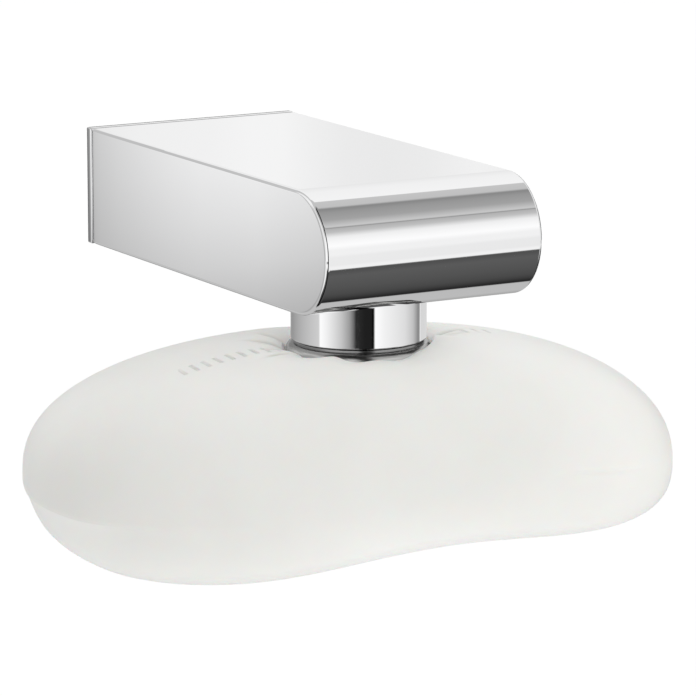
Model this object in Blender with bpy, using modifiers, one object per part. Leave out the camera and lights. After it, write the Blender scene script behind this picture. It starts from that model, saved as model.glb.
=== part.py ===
# Magnetic soap holder, as it hangs on a wall: a hollow chromed arm locked on a wall bracket,
# a magnet in a cup under the arm's nose, and a soap bar with a steel cap pushed into it.
# Metres, +Z up, +X along the nose, +Y into the wall. The origin is the centre of the wall face.
import math

import bmesh
import bpy
from mathutils import Matrix, Vector

MM = 0.001

# Arm and wall plate
arm_width = 37.5 * MM
arm_height = 19.0 * MM
arm_reach = 80.0 * MM
arm_wall = 2.2 * MM
arm_edge_round = 0.5 * MM
plate_thickness = 1.5 * MM
plate_edge_round = 0.25 * MM

# Wall bracket, its two wall screw holes and the screw that locks the arm on it
bracket_depth = 14.0 * MM
wall_hole_spacing = 18.0 * MM
wall_hole_diameter = 4.5 * MM
countersink_diameter = 8.6 * MM
lock_screw_diameter = 4.0 * MM
lock_screw_length = 4.0 * MM
lock_screw_recess = 0.3 * MM
lock_socket_width = 2.0 * MM
lock_socket_depth = 1.6 * MM

# Magnet cup and the screw that holds it from inside the arm
cup_setback = 56.5 * MM
cup_diameter = 21.0 * MM
cup_height = 7.3 * MM
cup_wall = 1.0 * MM
cup_roof = 1.5 * MM
cup_edge_round = 0.2 * MM
spigot_diameter = 8.0 * MM
spigot_height = 2.2 * MM
holder_screw_diameter = 4.0 * MM
holder_screw_head_diameter = 7.2 * MM
holder_screw_head_height = 2.4 * MM
holder_socket_width = 2.5 * MM
holder_socket_depth = 1.4 * MM
washer_diameter = 12.0 * MM
washer_thickness = 0.8 * MM

# Magnet and the steel pot that closes its field
pot_wall = 1.3 * MM
spacer_wall = 0.7 * MM
magnet_proud = 0.1 * MM

# Steel cap in the soap
cap_diameter = 22.6 * MM
cap_sheet = 0.6 * MM
cap_shoulder_round = 1.4 * MM
cap_depth = 5.4 * MM
cap_flare = 0.6 * MM
cap_flute_depth = 0.3 * MM
cap_flutes = 10
cap_facets_per_flute = 8
cap_shoulder_facets = 4

# Soap bar: a pebble, larger at one end, with a shallow saddle beneath and a dish round the cap
soap_length = 100.5 * MM
soap_width = 60.0 * MM
soap_thickness = 36.0 * MM
soap_crown_rise = 1.1 * MM
soap_end_droop = 2.8 * MM
soap_end_lift = 0.9 * MM
soap_saddle = 3.3 * MM
soap_saddle_place_share = 0.35
soap_saddle_spread_share = 0.35
soap_width_taper_share = 0.1
soap_thickness_taper_share = 0.045
soap_length_power = 2.5
soap_section_power = 2.3
soap_offset = 1.3 * MM
soap_turn = math.radians(-19.0)
dish_diameter = 34.0 * MM
dish_depth = 1.2 * MM
dish_slope = 0.45

# Gaps, cutters and facets
seat_gap = 0.3 * MM
overrun = 2.0 * MM
weld_distance = 0.001 * MM
nose_facets = 24
turn_steps = 48
small_turn_steps = 24

# Heights and places that follow from the sizes
under_arm = -arm_height / 2
arm_rear = plate_thickness + seat_gap
nose_centre = arm_reach - arm_height / 2
bracket_front = arm_rear + bracket_depth
bracket_height = arm_height - 2 * arm_wall - 2 * seat_gap
bracket_width = arm_width - 2 * arm_wall - 2 * seat_gap
lock_screw_place = arm_rear + bracket_depth / 2
arm_floor = under_arm + arm_wall
cup_top = under_arm - seat_gap
cup_rim = cup_top - cup_height
cup_roof_face = cup_top - cup_roof
cup_bore = cup_diameter / 2 - cup_wall
spigot_top = cup_top + spigot_height
washer_bottom = arm_floor + seat_gap
washer_top = washer_bottom + washer_thickness
screw_head_bottom = washer_top + seat_gap
pot_radius = cup_bore - seat_gap
pot_top = cup_roof_face - seat_gap
pot_roof_face = pot_top - pot_wall
spacer_radius = pot_radius - pot_wall - seat_gap
magnet_radius = spacer_radius - spacer_wall - seat_gap
magnet_top = pot_roof_face - seat_gap
magnet_face = cup_rim - magnet_proud
cap_face = magnet_face - seat_gap
cap_radius = cap_diameter / 2
cap_end = cap_face - cap_depth
soap_centre = cap_face + soap_crown_rise - soap_thickness / 2


def clear_scene():
    for obj in list(bpy.data.objects):
        bpy.data.objects.remove(obj, do_unlink=True)


def new_collection(name):
    collection = bpy.data.collections.new(name)
    bpy.context.scene.collection.children.link(collection)
    return collection


def new_material(name, colour, roughness, metallic):
    material = bpy.data.materials.new(name)
    material.use_nodes = True
    shader = material.node_tree.nodes["Principled BSDF"]
    shader.inputs["Base Color"].default_value = (*colour, 1.0)
    shader.inputs["Roughness"].default_value = roughness
    shader.inputs["Metallic"].default_value = metallic
    return material


def move_to(obj, collection):
    for old in list(obj.users_collection):
        old.objects.unlink(obj)
    collection.objects.link(obj)


def dress(obj, name, material):
    """Name a finished part, give it its material and put it with the other parts."""
    obj.name = name
    obj.data.name = name
    obj.data.materials.clear()
    obj.data.materials.append(material)
    if obj.data.polygons:
        obj.data.shade_smooth()
        obj.data.set_sharp_from_angle(angle=math.radians(30.0))
    move_to(obj, parts)
    return obj


def as_mesh(obj):
    """Turn a curve, or a mesh with modifiers, into one welded plain mesh at the same place."""
    bpy.context.view_layer.update()
    evaluated = obj.evaluated_get(bpy.context.evaluated_depsgraph_get())
    mesh = bpy.data.meshes.new_from_object(evaluated)
    shape = bmesh.new()
    shape.from_mesh(mesh)
    bmesh.ops.remove_doubles(shape, verts=shape.verts, dist=weld_distance)
    shape.to_mesh(mesh)
    shape.free()
    solid = bpy.data.objects.new(obj.name, mesh)
    bpy.context.scene.collection.objects.link(solid)
    solid.matrix_world = obj.matrix_world.copy()
    bpy.data.objects.remove(obj, do_unlink=True)
    return solid


def cut(obj, cutter):
    """Cut one closed shape out of a part and keep the cutter out of sight."""
    cutter.name = obj.name + "_cutter"
    cutter.hide_render = True
    cutter.display_type = "WIRE"
    move_to(cutter, cutters)
    boolean = obj.modifiers.new("cut", "BOOLEAN")
    boolean.operation = "DIFFERENCE"
    boolean.solver = "EXACT"
    boolean.object = cutter


def round_edges(obj, width, segments):
    bevel = obj.modifiers.new("edges", "BEVEL")
    bevel.width = width
    bevel.segments = segments
    bevel.limit_method = "ANGLE"
    bevel.angle_limit = math.radians(40.0)
    return bevel


def block(width, depth, height, centre):
    bpy.ops.mesh.primitive_cube_add(size=1.0, location=centre)
    obj = bpy.context.active_object
    obj.scale = (width, depth, height)
    bpy.ops.object.transform_apply(location=False, rotation=False, scale=True)
    return obj


def rod(radius, bottom, top, place, sides):
    """An upright cylinder between two heights, over a place on the arm's middle plane."""
    centre = (0.0, -place, (bottom + top) / 2)
    bpy.ops.mesh.primitive_cylinder_add(vertices=sides, radius=radius, depth=top - bottom, location=centre)
    return bpy.context.active_object


def turned(name, profile, steps):
    """A shape of revolution about its own Z axis; the profile is (radius, height), top to bottom."""
    mesh = bpy.data.meshes.new(name)
    corners = [(radius, 0.0, height) for radius, height in profile]
    edges = [(index, index + 1) for index in range(len(corners) - 1)]
    mesh.from_pydata(corners, edges, [])
    obj = bpy.data.objects.new(name, mesh)
    bpy.context.scene.collection.objects.link(obj)
    screw = obj.modifiers.new("turn", "SCREW")
    screw.axis = "Z"
    screw.steps = steps
    screw.render_steps = steps
    screw.use_merge_vertices = True
    screw.merge_threshold = weld_distance
    return as_mesh(obj)


def side_outline(rear, radius):
    """Side view of the arm: straight back to the rear, half round at the nose."""
    outline = [(rear, -radius)]
    for step in range(nose_facets + 1):
        angle = math.pi * (step / nose_facets - 1 / 2)
        outline.append((nose_centre + radius * math.cos(angle), radius * math.sin(angle)))
    outline.append((rear, radius))
    return outline


def side_solid(name, outline, width):
    """A flat outline seen from the side, extruded evenly to both sides of the middle plane."""
    curve = bpy.data.curves.new(name, "CURVE")
    curve.dimensions = "2D"
    curve.fill_mode = "BOTH"
    curve.extrude = width / 2
    spline = curve.splines.new("POLY")
    spline.points.add(len(outline) - 1)
    for point, (out, height) in zip(spline.points, outline):
        point.co = (out, height, 0.0, 1.0)
    spline.use_cyclic_u = True
    obj = bpy.data.objects.new(name, curve)
    bpy.context.scene.collection.objects.link(obj)
    obj.rotation_euler = (math.pi / 2, 0.0, -math.pi / 2)
    return as_mesh(obj)


def wall_hole_places():
    return (-wall_hole_spacing / 2, wall_hole_spacing / 2)


def bore_to_wall(obj, place, diameter, front):
    """A round hole along Y, from in front of a part to behind the wall face."""
    length = front + 2 * overrun
    centre = (place, -front / 2, 0.0)
    bpy.ops.mesh.primitive_cylinder_add(
        vertices=small_turn_steps, radius=diameter / 2, depth=length, location=centre,
        rotation=(math.pi / 2, 0.0, 0.0))
    cut(obj, bpy.context.active_object)


def make_wall_plate():
    plate = block(arm_width, plate_thickness, arm_height, (0.0, -plate_thickness / 2, 0.0))
    plate.name = "wall_plate"
    round_edges(plate, plate_edge_round, 2)
    for place in wall_hole_places():
        bore_to_wall(plate, place, wall_hole_diameter, plate_thickness)
    return dress(plate, "wall_plate", chrome)


def make_wall_bracket():
    centre = (0.0, -(arm_rear + bracket_depth / 2), 0.0)
    bracket = block(bracket_width, bracket_depth, bracket_height, centre)
    bracket.name = "wall_bracket"
    round_edges(bracket, arm_edge_round, 2)
    sink_depth = (countersink_diameter - wall_hole_diameter) / 2
    for place in wall_hole_places():
        bore_to_wall(bracket, place, wall_hole_diameter, bracket_front)
        sink_length = sink_depth + overrun
        sink_mouth = wall_hole_diameter / 2 + sink_length
        sink_centre = (place, -(bracket_front - sink_depth + sink_length / 2), 0.0)
        bpy.ops.mesh.primitive_cone_add(
            vertices=small_turn_steps, radius1=sink_mouth, radius2=wall_hole_diameter / 2,
            depth=sink_length, location=sink_centre, rotation=(-math.pi / 2, 0.0, 0.0))
        cut(bracket, bpy.context.active_object)
    tip_space = under_arm + lock_screw_recess + lock_screw_length + seat_gap
    pocket_radius = lock_screw_diameter / 2 + seat_gap
    pocket = rod(pocket_radius, -bracket_height / 2 - overrun, tip_space, lock_screw_place, small_turn_steps)
    cut(bracket, pocket)
    return dress(bracket, "wall_bracket", cast_zinc)


def make_lock_screw():
    bottom = under_arm + lock_screw_recess
    screw = rod(lock_screw_diameter / 2, bottom, bottom + lock_screw_length, lock_screw_place, small_turn_steps)
    screw.name = "lock_screw"
    socket_radius = lock_socket_width / math.sqrt(3.0)
    socket = rod(socket_radius, bottom - overrun, bottom + lock_socket_depth, lock_screw_place, 6)
    cut(screw, socket)
    return dress(screw, "lock_screw", steel)


def make_arm_shell():
    arm = side_solid("arm_shell", side_outline(arm_rear, arm_height / 2), arm_width)
    round_edges(arm, arm_edge_round, 3)
    inner_outline = side_outline(arm_rear - overrun, arm_height / 2 - arm_wall)
    cut(arm, side_solid("hollow", inner_outline, arm_width - 2 * arm_wall))
    spigot_hole = spigot_diameter / 2 + seat_gap
    cut(arm, rod(spigot_hole, under_arm - overrun, arm_floor + overrun, cup_setback, turn_steps))
    screw_hole = lock_screw_diameter / 2 + seat_gap
    cut(arm, rod(screw_hole, under_arm - overrun, arm_floor + overrun, lock_screw_place, small_turn_steps))
    return dress(arm, "arm_shell", chrome)


def make_magnet_holder():
    bore = holder_screw_diameter / 2 + seat_gap
    radius = cup_diameter / 2
    profile = [
        (bore, spigot_top),
        (spigot_diameter / 2, spigot_top),
        (spigot_diameter / 2, cup_top),
        (radius - cup_edge_round, cup_top),
        (radius, cup_top - cup_edge_round),
        (radius, cup_rim + cup_edge_round),
        (radius - cup_edge_round, cup_rim),
        (cup_bore, cup_rim),
        (cup_bore, cup_roof_face),
        (bore, cup_roof_face),
        (bore, spigot_top),
    ]
    cup = turned("magnet_holder", profile, turn_steps)
    cup.location.y = -cup_setback
    return dress(cup, "magnet_holder", chrome)


def make_lock_washer():
    hole = holder_screw_diameter / 2 + seat_gap
    profile = [
        (hole, washer_top),
        (washer_diameter / 2, washer_top),
        (washer_diameter / 2, washer_bottom),
        (hole, washer_bottom),
        (hole, washer_top),
    ]
    washer = turned("lock_washer", profile, small_turn_steps)
    washer.location.y = -cup_setback
    return dress(washer, "lock_washer", steel)


def make_holder_screw():
    shank = holder_screw_diameter / 2
    head = holder_screw_head_diameter / 2
    head_top = screw_head_bottom + holder_screw_head_height
    profile = [
        (0.0, head_top),
        (head - cup_edge_round, head_top),
        (head, head_top - cup_edge_round),
        (head, screw_head_bottom),
        (shank, screw_head_bottom),
        (shank, cup_roof_face),
        (0.0, cup_roof_face),
    ]
    screw = turned("holder_screw", profile, small_turn_steps)
    screw.location.y = -cup_setback
    socket_radius = holder_socket_width / math.sqrt(3.0)
    cut(screw, rod(socket_radius, head_top - holder_socket_depth, head_top + overrun, cup_setback, 6))
    return dress(screw, "holder_screw", steel)


def make_pole_cup():
    inner = pot_radius - pot_wall
    profile = [
        (0.0, pot_top),
        (pot_radius, pot_top),
        (pot_radius, cup_rim),
        (inner, cup_rim),
        (inner, pot_roof_face),
        (0.0, pot_roof_face),
    ]
    pot = turned("pole_cup", profile, turn_steps)
    pot.location.y = -cup_setback
    return dress(pot, "pole_cup", steel)


def make_spacer_ring():
    inner = spacer_radius - spacer_wall
    profile = [
        (inner, magnet_top),
        (spacer_radius, magnet_top),
        (spacer_radius, cup_rim),
        (inner, cup_rim),
        (inner, magnet_top),
    ]
    ring = turned("spacer_ring", profile, turn_steps)
    ring.location.y = -cup_setback
    return dress(ring, "spacer_ring", dark_resin)


def make_magnet():
    profile = [
        (0.0, magnet_top),
        (magnet_radius, magnet_top),
        (magnet_radius, magnet_face + cup_edge_round),
        (magnet_radius - cup_edge_round, magnet_face),
        (0.0, magnet_face),
    ]
    disc = turned("magnet", profile, turn_steps)
    disc.location.y = -cup_setback
    return dress(disc, "magnet", nickel)


def cap_skirt(depth_share):
    """Mean radius of the cap's skirt, which flares from its shoulder down to its end."""
    return cap_radius + cap_flare * depth_share


def make_steel_cap():
    """Sheet pressed like a bottle cap: flat face, round shoulder, fluted skirt."""
    profile = [(0.0, cap_face), ((cap_radius - cap_shoulder_round) / 2, cap_face)]
    for step in range(cap_shoulder_facets + 1):
        angle = math.pi / 2 * (1 - step / cap_shoulder_facets)
        radius = cap_radius - cap_shoulder_round * (1 - math.cos(angle))
        height = cap_face - cap_shoulder_round * (1 - math.sin(angle))
        profile.append((radius, height))
    skirt_top = cap_face - cap_shoulder_round
    skirt_length = skirt_top - cap_end
    for share in (1 / 2, 1.0):
        profile.append((cap_skirt(share), skirt_top - skirt_length * share))
    cap = turned("steel_cap", profile, cap_flutes * cap_facets_per_flute)
    for vertex in cap.data.vertices:
        place = vertex.co
        share = (skirt_top - place.z) / skirt_length
        if share <= 0.0:
            continue
        angle = math.atan2(place.y, place.x)
        radius = math.hypot(place.x, place.y)
        wave = cap_flute_depth * share * math.cos(cap_flutes * angle)
        place.xy = place.xy * (1.0 + wave / radius)
    cap.location.y = -cup_setback
    sheet = cap.modifiers.new("sheet", "SOLIDIFY")
    sheet.thickness = cap_sheet
    sheet.offset = -1.0
    return dress(cap, "steel_cap", steel)


def signed_power(value, power):
    return math.copysign(abs(value) ** power, value)


def soap_surface(direction):
    """Where the pebble's surface lies in the direction of a point of a unit ball."""
    along = max(-1.0, min(1.0, direction.x))
    around = math.atan2(direction.z, direction.y)
    body = max(0.0, 1.0 - abs(along) ** soap_length_power) ** (1 / soap_length_power)
    across = signed_power(math.cos(around), 2 / soap_section_power)
    up = signed_power(math.sin(around), 2 / soap_section_power)
    half_width = soap_width / 2 * (1.0 - soap_width_taper_share * along)
    half_thickness = soap_thickness / 2 * (1.0 - soap_thickness_taper_share * along)
    height = half_thickness * body * up + soap_end_lift * along - soap_end_droop * along ** 2
    if up < 0.0:
        saddle = (along - soap_saddle_place_share) / soap_saddle_spread_share
        height += soap_saddle * body * -up * math.exp(-saddle ** 2)
    return Vector((soap_length / 2 * along, half_width * body * across, height))


def make_soap_cutter():
    """The room that the cap takes in the bar, and the dish that its rim presses into the top."""
    lip = cap_face - dish_depth
    lip_radius = cap_radius + seat_gap
    dish_radius = dish_diameter / 2
    outer_end = cap_skirt(1.0) + cap_flute_depth + seat_gap
    inner_end = cap_skirt(1.0) - cap_flute_depth - cap_sheet - seat_gap
    inner_top = cap_face - cap_sheet - seat_gap
    inner_shoulder = cap_radius - cap_shoulder_round
    plug_radius = cap_radius - cap_sheet - seat_gap
    profile = [
        (0.0, lip + (dish_radius - lip_radius) * dish_slope),
        (dish_radius, lip + (dish_radius - lip_radius) * dish_slope),
        (lip_radius, lip),
        (lip_radius, cap_face - cap_shoulder_round),
        (outer_end, cap_end),
        (outer_end, cap_end - seat_gap),
        (inner_end, cap_end - seat_gap),
        (plug_radius, inner_top - cap_shoulder_round),
        (inner_shoulder, inner_top),
        (0.0, inner_top),
    ]
    cutter = turned("soap_cutter", profile, turn_steps)
    cutter.location.y = -cup_setback
    return cutter


def make_soap_bar():
    mesh = bpy.data.meshes.new("soap_bar")
    cage = bmesh.new()
    bmesh.ops.create_uvsphere(cage, u_segments=20, v_segments=14, radius=1.0)
    bmesh.ops.rotate(cage, verts=cage.verts, matrix=Matrix.Rotation(math.pi / 2, 3, "Y"))
    for vertex in cage.verts:
        vertex.co = soap_surface(vertex.co)
    bmesh.ops.recalc_face_normals(cage, faces=cage.faces)
    cage.to_mesh(mesh)
    cage.free()
    bar = bpy.data.objects.new("soap_bar", mesh)
    bpy.context.scene.collection.objects.link(bar)
    shift = Vector((math.cos(soap_turn), math.sin(soap_turn), 0.0)) * -soap_offset
    bar.location = Vector((0.0, -cup_setback, soap_centre)) + shift
    bar.rotation_euler = (0.0, 0.0, soap_turn)
    smooth = bar.modifiers.new("soft", "SUBSURF")
    smooth.levels = 1
    smooth.render_levels = 1
    cut(bar, make_soap_cutter())
    return dress(bar, "soap_bar", soap)


def hang_from_joint(pieces):
    """An empty on the swivel and pull-off axis carries everything that leaves with the soap."""
    joint = bpy.data.objects.new("soap_joint", None)
    joint.location = (0.0, -cup_setback, magnet_face)
    joint.empty_display_size = cup_diameter
    bpy.context.scene.collection.objects.link(joint)
    bpy.context.view_layer.update()
    for piece in pieces:
        piece.parent = joint
        piece.matrix_parent_inverse = joint.matrix_world.inverted()


clear_scene()
parts = new_collection("magnetic_soap_holder")
cutters = new_collection("cutters")
chrome = new_material("polished_chrome", (0.86, 0.87, 0.88), 0.04, 1.0)
cast_zinc = new_material("cast_zinc", (0.55, 0.56, 0.57), 0.45, 1.0)
steel = new_material("bright_steel", (0.62, 0.62, 0.61), 0.25, 1.0)
nickel = new_material("nickel_plate", (0.72, 0.70, 0.66), 0.2, 1.0)
dark_resin = new_material("dark_resin", (0.03, 0.03, 0.03), 0.5, 0.0)
soap = new_material("off_white_soap", (0.84, 0.84, 0.81), 0.38, 0.0)

make_wall_plate()
make_wall_bracket()
make_lock_screw()
make_arm_shell()
make_magnet_holder()
make_lock_washer()
make_holder_screw()
make_pole_cup()
make_spacer_ring()
hang_from_joint([make_magnet(), make_steel_cap(), make_soap_bar()])
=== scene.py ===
# %% [markdown]
# # A magnetic soap holder for the wall
# A chromed arm stands out from the wall. Under its nose sits a short cup with a magnet in it, and a
# soap bar hangs from that magnet by a steel cap pressed into its top. The measured solids come in
# first, each on the body that it moves with. Finer shapes and finishes then go round them.

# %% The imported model
import math

import bmesh
import bpy
from mathutils import Matrix, Vector


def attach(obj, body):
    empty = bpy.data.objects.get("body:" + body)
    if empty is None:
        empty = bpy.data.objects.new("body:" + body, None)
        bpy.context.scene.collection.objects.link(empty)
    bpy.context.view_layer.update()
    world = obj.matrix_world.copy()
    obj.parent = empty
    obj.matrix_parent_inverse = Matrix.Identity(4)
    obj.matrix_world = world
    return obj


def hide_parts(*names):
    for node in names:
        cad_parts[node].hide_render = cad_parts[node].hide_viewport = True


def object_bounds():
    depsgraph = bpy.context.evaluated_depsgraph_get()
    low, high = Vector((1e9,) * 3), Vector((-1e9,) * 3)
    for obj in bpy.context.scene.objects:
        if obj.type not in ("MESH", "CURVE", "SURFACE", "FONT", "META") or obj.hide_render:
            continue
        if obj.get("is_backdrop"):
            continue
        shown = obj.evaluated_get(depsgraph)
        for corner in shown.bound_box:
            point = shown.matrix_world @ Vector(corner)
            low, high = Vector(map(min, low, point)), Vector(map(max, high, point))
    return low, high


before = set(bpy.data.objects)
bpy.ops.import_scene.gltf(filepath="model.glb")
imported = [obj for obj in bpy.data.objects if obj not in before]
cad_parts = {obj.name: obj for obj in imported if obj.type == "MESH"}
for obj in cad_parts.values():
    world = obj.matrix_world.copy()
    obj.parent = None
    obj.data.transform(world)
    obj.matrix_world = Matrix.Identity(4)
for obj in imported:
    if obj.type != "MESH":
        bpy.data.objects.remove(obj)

MM = 0.001
HAIR = 0.01 * MM
cad_lowest, cad_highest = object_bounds()
print("solids:", ", ".join(sorted(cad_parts)))

# %% [markdown]
# ## The camera
# The picture is taken from the left and from a little above the arm, with a long lens, so the
# arm's edges stay nearly parallel. The camera is placed in metres, like everything else here.

# %% Camera
camera_place = (-0.32713, -0.63413, 0.11703)
camera_above = math.radians(11.5719)
camera_left = math.radians(29.3828)
camera_lens = 226.86


def begin():
    """Deselect everything, so that the next operator acts on the new thing alone."""
    bpy.ops.object.select_all(action="DESELECT")


begin()
bpy.ops.object.camera_add(
    location=camera_place, rotation=(math.pi / 2 - camera_above, 0.0, -camera_left))
camera = bpy.context.active_object
camera.data.lens = camera_lens
camera.data.clip_end = 50.0
bpy.context.scene.camera = camera
print("camera", [round(value, 3) for value in camera.location])

# %% [markdown]
# ## Nodes by name
# Every finish is a small network of nodes. A few helpers keep that readable: one adds a node and
# sets or links its sockets, and the others give short names to sums, vectors and colour ramps.

# %% Helpers for node networks
def grey(level):
    """A neutral colour from a screen level of 0 to 255, as the linear value that shaders use."""
    share = level / 255.0
    value = share / 12.92 if share <= 0.04045 else ((share + 0.055) / 1.055) ** 2.4
    return (value, value, value, 1.0)


def add_node(tree, kind, inputs=(), **settings):
    node = tree.nodes.new(kind)
    for name, value in settings.items():
        setattr(node, name, value)
    for socket, value in dict(inputs).items():
        if isinstance(value, bpy.types.NodeSocket):
            tree.links.new(value, node.inputs[socket])
        else:
            node.inputs[socket].default_value = value
    return node


def maths(tree, operation, first, second=0.0, third=0.0):
    node = add_node(tree, "ShaderNodeMath", {0: first, 1: second, 2: third}, operation=operation)
    return node.outputs[0]


def vector_maths(tree, operation, first, second=(0.0, 0.0, 0.0)):
    return add_node(tree, "ShaderNodeVectorMath", {0: first, 1: second}, operation=operation).outputs


def parts(tree, vector):
    """The x, y and z of a vector."""
    return add_node(tree, "ShaderNodeSeparateXYZ", {0: vector}).outputs


def own_place(tree):
    """Coordinates that stay with the piece when it moves."""
    return add_node(tree, "ShaderNodeTexCoord").outputs["Object"]


def blank(owner):
    """The empty node tree of a material or world."""
    owner.use_nodes = True
    owner.node_tree.nodes.clear()
    return owner.node_tree


def ramp(tree, factor, stops, interpolation="LINEAR"):
    """A colour ramp from (position, colour) pairs."""
    node = add_node(tree, "ShaderNodeValToRGB", {"Fac": factor})
    node.color_ramp.interpolation = interpolation
    for _ in range(len(stops) - 2):
        node.color_ramp.elements.new(0.5)
    for element, (place, colour) in zip(node.color_ramp.elements, stops):
        element.position = place
        element.color = colour
    return node.outputs["Color"]


def between(tree, value, low, high, start=0.3, end=0.7):
    """Brings a value from start..end, which suits noise, to low..high."""
    node = add_node(
        tree, "ShaderNodeMapRange",
        {"Value": value, "From Min": start, "From Max": end, "To Min": low, "To Max": high})
    return node.outputs["Result"]


# %% [markdown]
# ## The studio that the chrome reflects
# Polished chrome has no colour of its own: it shows the room. The room here is one bright shell
# with a few dark panels, described by direction only, so the reflections stay right from any side.
# Upright surfaces such as the cup read the shell round the vertical, the half-round nose reads it
# round the arm's width, and narrow panels at the left and right draw the lines along rounded edges.
# Matt surfaces meet a plain light that changes smoothly with direction, and the camera meets white.
# Where a list below goes from 0 to 1, 0.5 is level with the object and 1 is straight up, right or back.

# %% Bands of the studio, as (degrees, screen level)
nose_bands = [
    (0, 165), (11, 228), (40, 240), (67, 243), (70.8, 244), (71.4, 196), (86.5, 192), (90.5, 134), (99, 150),
    (115, 162), (123, 186), (128, 200), (129.3, 196), (129.9, 135), (130.7, 135), (131.3, 175),
    (139, 191), (148, 238), (156, 247), (164, 253), (172, 241), (207.2, 241), (208.2, 76),
    (220, 90), (244, 82), (260, 73), (268, 62), (276, 40), (280.5, 36), (281.5, 186), (312, 186),
    (330, 162),
]
cup_bands = [
    (0, 254), (15.6, 241), (56, 220), (76, 192), (91, 135), (97.8, 150), (98.4, 255), (99.4, 255),
    (100, 213), (150.6, 213), (150.8, 165), (179, 147), (259.5, 205), (262, 254), (275, 240),
    (289, 219), (301.5, 196), (315.3, 154), (322.2, 105), (325.7, 45), (341, 31), (352.7, 31),
    (354.2, 2), (356.2, 2), (358.7, 255),
]
white_panel_bands = [
    (0, 192), (52, 192), (58, 236), (110, 230), (150, 240), (190, 252), (240, 246), (296, 238),
    (304, 190), (360, 190),
]
black_panel_bands = [(0, 192), (88, 192), (91, 8), (283, 8), (286, 190), (360, 190)]
cup_heights = [(0.33, 0), (0.36, 255), (0.46, 255), (0.50, 0)]
cup_heights_beside = [(0.382, 0), (0.39, 255), (0.41, 255), (0.418, 0)]
ahead_of_panels = [(0.455, 0), (0.485, 255), (0.80, 255), (0.82, 0)]
white_panel = [(0.10, 255), (0.13, 0)]
black_panel = [(0.27, 0), (0.28, 255)]
right_side = [(0.6, 0), (0.7, 255)]
right_panel = [(0.0, 236), (0.25, 224), (0.38, 238), (0.45, 255), (0.475, 24)]
right_panel_low = [(0.0, 236), (0.25, 224), (0.28, 224), (0.31, 60)]
right_low = [(0.32, 255), (0.36, 0)]
right_high = [(0.58, 0), (0.66, 255)]
right_high_level = 225
mirror_gain = 1.07
even_level = 1.20
even_slopes = (-0.168, -0.153, -0.043)
even_squares = (-0.403, 0.079, 0.0)
dim_side = (-0.80, -0.55, 0.10)
dim_side_levels = [(0.55, 1.0), (0.93, 0.0)]


def around(tree, across, along, bands):
    """Reads a list of bands by the angle of a direction, from 0 to 360 degrees."""
    turn = maths(tree, "ARCTAN2", across, along)
    share = maths(tree, "FRACT", maths(tree, "MULTIPLY", turn, 1 / math.tau))
    return ramp(tree, share, [(degrees / 360, grey(level)) for degrees, level in bands])


def steps(tree, value, levels):
    """Reads a list of levels by one part of a direction, brought from -1..1 to a ramp's 0..1."""
    share = maths(tree, "MULTIPLY_ADD", value, 0.5, 0.5)
    return ramp(tree, share, [(place, grey(level)) for place, level in levels])


def blend(tree, share, first, second, kind="MIX"):
    """Two colours blended by a share, or multiplied."""
    node = add_node(tree, "ShaderNodeMix", {0: share, 6: first, 7: second}, data_type="RGBA", blend_type=kind)
    return node.outputs[2]


def slanted(tree, direction, slopes, squares):
    """A level that changes smoothly with direction: a slope and a square term along each axis."""
    squared = vector_maths(tree, "MULTIPLY", direction, direction)[0]
    slope = vector_maths(tree, "DOT_PRODUCT", direction, slopes)["Value"]
    return maths(tree, "ADD", slope, vector_maths(tree, "DOT_PRODUCT", squared, squares)["Value"])


# %% The studio's nodes
world = bpy.data.worlds.new("studio")
bpy.context.scene.world = world
world.cycles.sampling_method = "NONE"
tree = blank(world)
direction = add_node(tree, "ShaderNodeTexCoord").outputs["Generated"]
right, back, up = parts(tree, direction)
front = maths(tree, "MULTIPLY", back, -1.0)
by_nose = around(tree, up, back, nose_bands)
by_cup = around(tree, right, front, cup_bands)
white_card = around(tree, up, back, white_panel_bands)
black_card = around(tree, up, back, black_panel_bands)
ahead = blend(tree, steps(tree, up, cup_heights), by_nose, by_cup)
panels = blend(tree, steps(tree, right, black_panel), by_nose, black_card)
panels = blend(tree, steps(tree, right, white_panel), panels, white_card)
beside = blend(
    tree, steps(tree, up, right_low), steps(tree, back, right_panel), steps(tree, back, right_panel_low))
beside = blend(tree, steps(tree, up, right_high), beside, grey(right_high_level))
panels = blend(tree, steps(tree, right, right_side), panels, beside)
panels = blend(tree, steps(tree, up, cup_heights_beside), panels, by_cup)
reflected = blend(tree, steps(tree, right, ahead_of_panels), panels, ahead)
shade = ramp(
    tree, vector_maths(tree, "DOT_PRODUCT", direction, Vector(dim_side).normalized())["Value"],
    [(place, (level, level, level, 1.0)) for place, level in dim_side_levels], "EASE")
slant = slanted(tree, direction, even_slopes, even_squares)
even = maths(tree, "ADD", maths(tree, "ADD", shade, even_level - 1.0), slant)
even = maths(tree, "MAXIMUM", even, 0.0)
path = add_node(tree, "ShaderNodeLightPath").outputs
seen = maths(tree, "MAXIMUM", path["Is Camera Ray"], path["Is Transmission Ray"])
plain = add_node(tree, "ShaderNodeBackground", {"Color": grey(255), "Strength": even})
white = add_node(tree, "ShaderNodeBackground", {"Color": grey(255), "Strength": 1.0})
mirror = add_node(tree, "ShaderNodeBackground", {"Color": reflected, "Strength": mirror_gain})
shown = add_node(tree, "ShaderNodeMixShader", {0: seen, 1: plain.outputs[0], 2: white.outputs[0]})
seen_in_chrome = maths(
    tree, "MULTIPLY", path["Is Glossy Ray"], maths(tree, "LESS_THAN", path["Diffuse Depth"], 0.5))
mixed = add_node(
    tree, "ShaderNodeMixShader", {0: seen_in_chrome, 1: shown.outputs[0], 2: mirror.outputs[0]})
add_node(tree, "ShaderNodeOutputWorld", {"Surface": mixed.outputs[0]})
bpy.context.scene.view_settings.view_transform = "Standard"
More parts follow.
